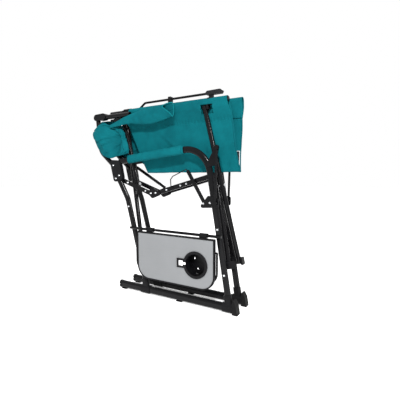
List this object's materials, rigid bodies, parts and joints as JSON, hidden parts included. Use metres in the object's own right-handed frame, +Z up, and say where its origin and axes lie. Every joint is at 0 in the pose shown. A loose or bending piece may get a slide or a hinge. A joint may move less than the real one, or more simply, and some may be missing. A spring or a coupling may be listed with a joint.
{
  "type": "folding camp chair",
  "caption": "Folding director-style camp chair with fabric seat and back, crossed tubes, padded arms and a swing-up side table, shown folded.",
  "frame": {"origin": "on the floor, below the middle of the folded chair", "axes": "+X to the front of the chair, +Z up, and the table hangs on the -Y side"},
  "size_m": [0.762, 0.1515, 0.8939],
  "materials": {
    "teal_fabric": "woven polyester",
    "grey_panel": "fine grain",
    "bare_steel": "plated",
    "black_rubber": "matt",
    "black_plastic": "moulded",
    "grey_grip": "moulded",
    "black_moulding": "moulded",
    "black_paint": "powder coat"
  },
  "bodies": {
    "right_frame": {"right_floor_rail": "black_paint", "right_front_leg": "black_paint", "right_rear_leg": "black_paint", "right_sockets": "black_plastic", "right_feet": "black_rubber", "right_arm_joint": "black_plastic", "right_arm_pad": "teal_fabric", "right_brace_rear": "black_paint", "right_brace_front": "black_paint", "right_brace_gusset": "black_paint", "right_leg_plates": "black_paint", "right_guide_rod": "black_paint", "right_pivot_brackets": "black_plastic", "right_rivets": "bare_steel", "right_back_lower": "black_paint", "table_rail": "black_paint", "release_lever": "black_paint"},
    "left_frame": {"left_floor_rail": "black_paint", "left_front_leg": "black_paint", "left_rear_leg": "black_paint", "left_sockets": "black_plastic", "left_feet": "black_rubber", "left_arm_joint": "black_plastic", "left_arm_pad": "teal_fabric", "left_brace_rear": "black_paint", "left_brace_front": "black_paint", "left_brace_gusset": "black_paint", "left_leg_plates": "black_paint", "left_guide_rod": "black_paint", "left_pivot_brackets": "black_plastic", "left_rivets": "bare_steel", "left_back_lower": "black_paint", "left_strut": "black_paint"},
    "cross_a_front": {"cross_a_front": "black_paint", "cross_pin_front": "bare_steel"},
    "cross_b_front": {"cross_b_front": "black_paint"},
    "cross_a_rear": {"cross_a_rear": "black_paint", "cross_pin_rear": "bare_steel"},
    "cross_b_rear": {"cross_b_rear": "black_paint"},
    "right_rail": {"right_seat_rail": "black_paint", "right_rail_elbows": "black_plastic"},
    "left_rail": {"left_seat_rail": "black_paint", "left_rail_elbows": "black_plastic", "carry_bar": "black_paint", "carry_grip": "grey_grip", "carry_clips": "black_plastic"},
    "seat_right_half": {"seat_right": "teal_fabric"},
    "seat_left_half": {"seat_left": "teal_fabric"},
    "right_back": {"right_back_upper": "black_paint", "right_back_elbow": "black_plastic"},
    "left_back": {"left_back_upper": "black_paint", "left_back_elbow": "black_plastic"},
    "back_cloth_right": {"back_right": "teal_fabric"},
    "back_cloth_left": {"back_left": "teal_fabric"},
    "table": {"table_top": "grey_panel", "table_rim": "black_moulding", "table_hinges": "black_plastic", "cup_holder": "black_moulding"},
    "table_prop": {"table_prop": "black_paint"}
  },
  "joints": [
    {"name": "unfold", "type": "hinge", "parent": "right_frame", "child": "cross_a_front", "pos_m": [0.339, -0.0193, 0.19], "axis": [-0.9781, 0, -0.2079], "range_deg": [0, 57]},
    {"name": "rear_cross_turn", "type": "hinge", "parent": "right_frame", "child": "cross_a_rear", "pos_m": [-0.103, -0.0193, 0.19], "axis": [-0.9781, 0, -0.2079], "range_deg": [0, 57.01]},
    {"name": "scissor_front", "type": "hinge", "parent": "cross_a_front", "child": "cross_b_front", "pos_m": [0.27289, 0.0067, 0.501], "axis": [-0.9781, 0, -0.2079], "range_deg": [-114.01, 0]},
    {"name": "scissor_rear", "type": "hinge", "parent": "cross_a_rear", "child": "cross_b_rear", "pos_m": [-0.16911, 0.0067, 0.501], "axis": [-0.9781, 0, -0.2079], "range_deg": [-114.01, 0]},
    {"name": "left_frame_turn", "type": "hinge", "parent": "cross_b_front", "child": "left_frame", "pos_m": [0.339, 0.0327, 0.19], "axis": [-0.9781, 0, -0.2079], "range_deg": [0, 57.01]},
    {"name": "left_rail_turn", "type": "hinge", "parent": "cross_a_front", "child": "left_rail", "pos_m": [0.20679, 0.0327, 0.812], "axis": [-0.9781, 0, -0.2079], "range_deg": [-57.01, 0]},
    {"name": "right_rail_turn", "type": "hinge", "parent": "cross_b_front", "child": "right_rail", "pos_m": [0.20679, -0.0193, 0.812], "axis": [-0.9781, 0, -0.2079], "range_deg": [0, 57.01]},
    {"name": "seat_right_swing", "type": "hinge", "parent": "right_rail", "child": "seat_right_half", "pos_m": [0.067, -0.0193, 0.838], "axis": [1, 0, 0], "range_deg": [0, 76.1], "deforming": ["seat_right"]},
    {"name": "seat_left_swing", "type": "hinge", "parent": "left_rail", "child": "seat_left_half", "pos_m": [0.067, 0.0327, 0.838], "axis": [-1, 0, 0], "range_deg": [0, 76.1], "deforming": ["seat_left"]},
    {"name": "back_fold", "type": "hinge", "parent": "right_frame", "child": "right_back", "pos_m": [-0.363, -0.0413, 0.822], "axis": [0, -1, 0], "range_deg": [0, 95]},
    {"name": "left_back_fold", "type": "hinge", "parent": "left_frame", "child": "left_back", "pos_m": [-0.363, 0.0547, 0.822], "axis": [0, -1, 0], "range_deg": [0, 95.01]},
    {"name": "back_stretch_right", "type": "slide", "parent": "right_back", "child": "back_cloth_right", "axis": [0, 1, 0], "range_m": [0, 0.25492], "deforming": ["back_right"]},
    {"name": "back_stretch_left", "type": "slide", "parent": "left_back", "child": "back_cloth_left", "axis": [0, -1, 0], "range_m": [0, 0.25492], "deforming": ["back_left"]},
    {"name": "table_lift", "type": "hinge", "parent": "right_frame", "child": "table", "pos_m": [0.067, -0.0553, 0.303], "axis": [-1, 0, 0], "range_deg": [0, 90]},
    {"name": "prop_swing", "type": "hinge", "parent": "table", "child": "table_prop", "pos_m": [0.067, -0.0558, 0.237], "axis": [1, 0, 0], "range_deg": [0, 127.1]}
  ],
  "couplings": [
    {"joint": "rear_cross_turn", "follows": "unfold", "ratio": 1},
    {"joint": "scissor_front", "follows": "unfold", "ratio": -2},
    {"joint": "scissor_rear", "follows": "unfold", "ratio": -2},
    {"joint": "left_frame_turn", "follows": "unfold", "ratio": 1},
    {"joint": "left_rail_turn", "follows": "unfold", "ratio": -1},
    {"joint": "right_rail_turn", "follows": "unfold", "ratio": 1},
    {"joint": "seat_right_swing", "follows": "unfold", "ratio": 1.3333},
    {"joint": "seat_left_swing", "follows": "unfold", "ratio": 1.3333},
    {"joint": "left_back_fold", "follows": "back_fold", "ratio": 1},
    {"joint": "back_stretch_right", "follows": "unfold", "m_per_rad": 0.25614},
    {"joint": "back_stretch_left", "follows": "unfold", "m_per_rad": 0.25614},
    {"joint": "prop_swing", "follows": "table_lift", "ratio": 1.4111}
  ]
}
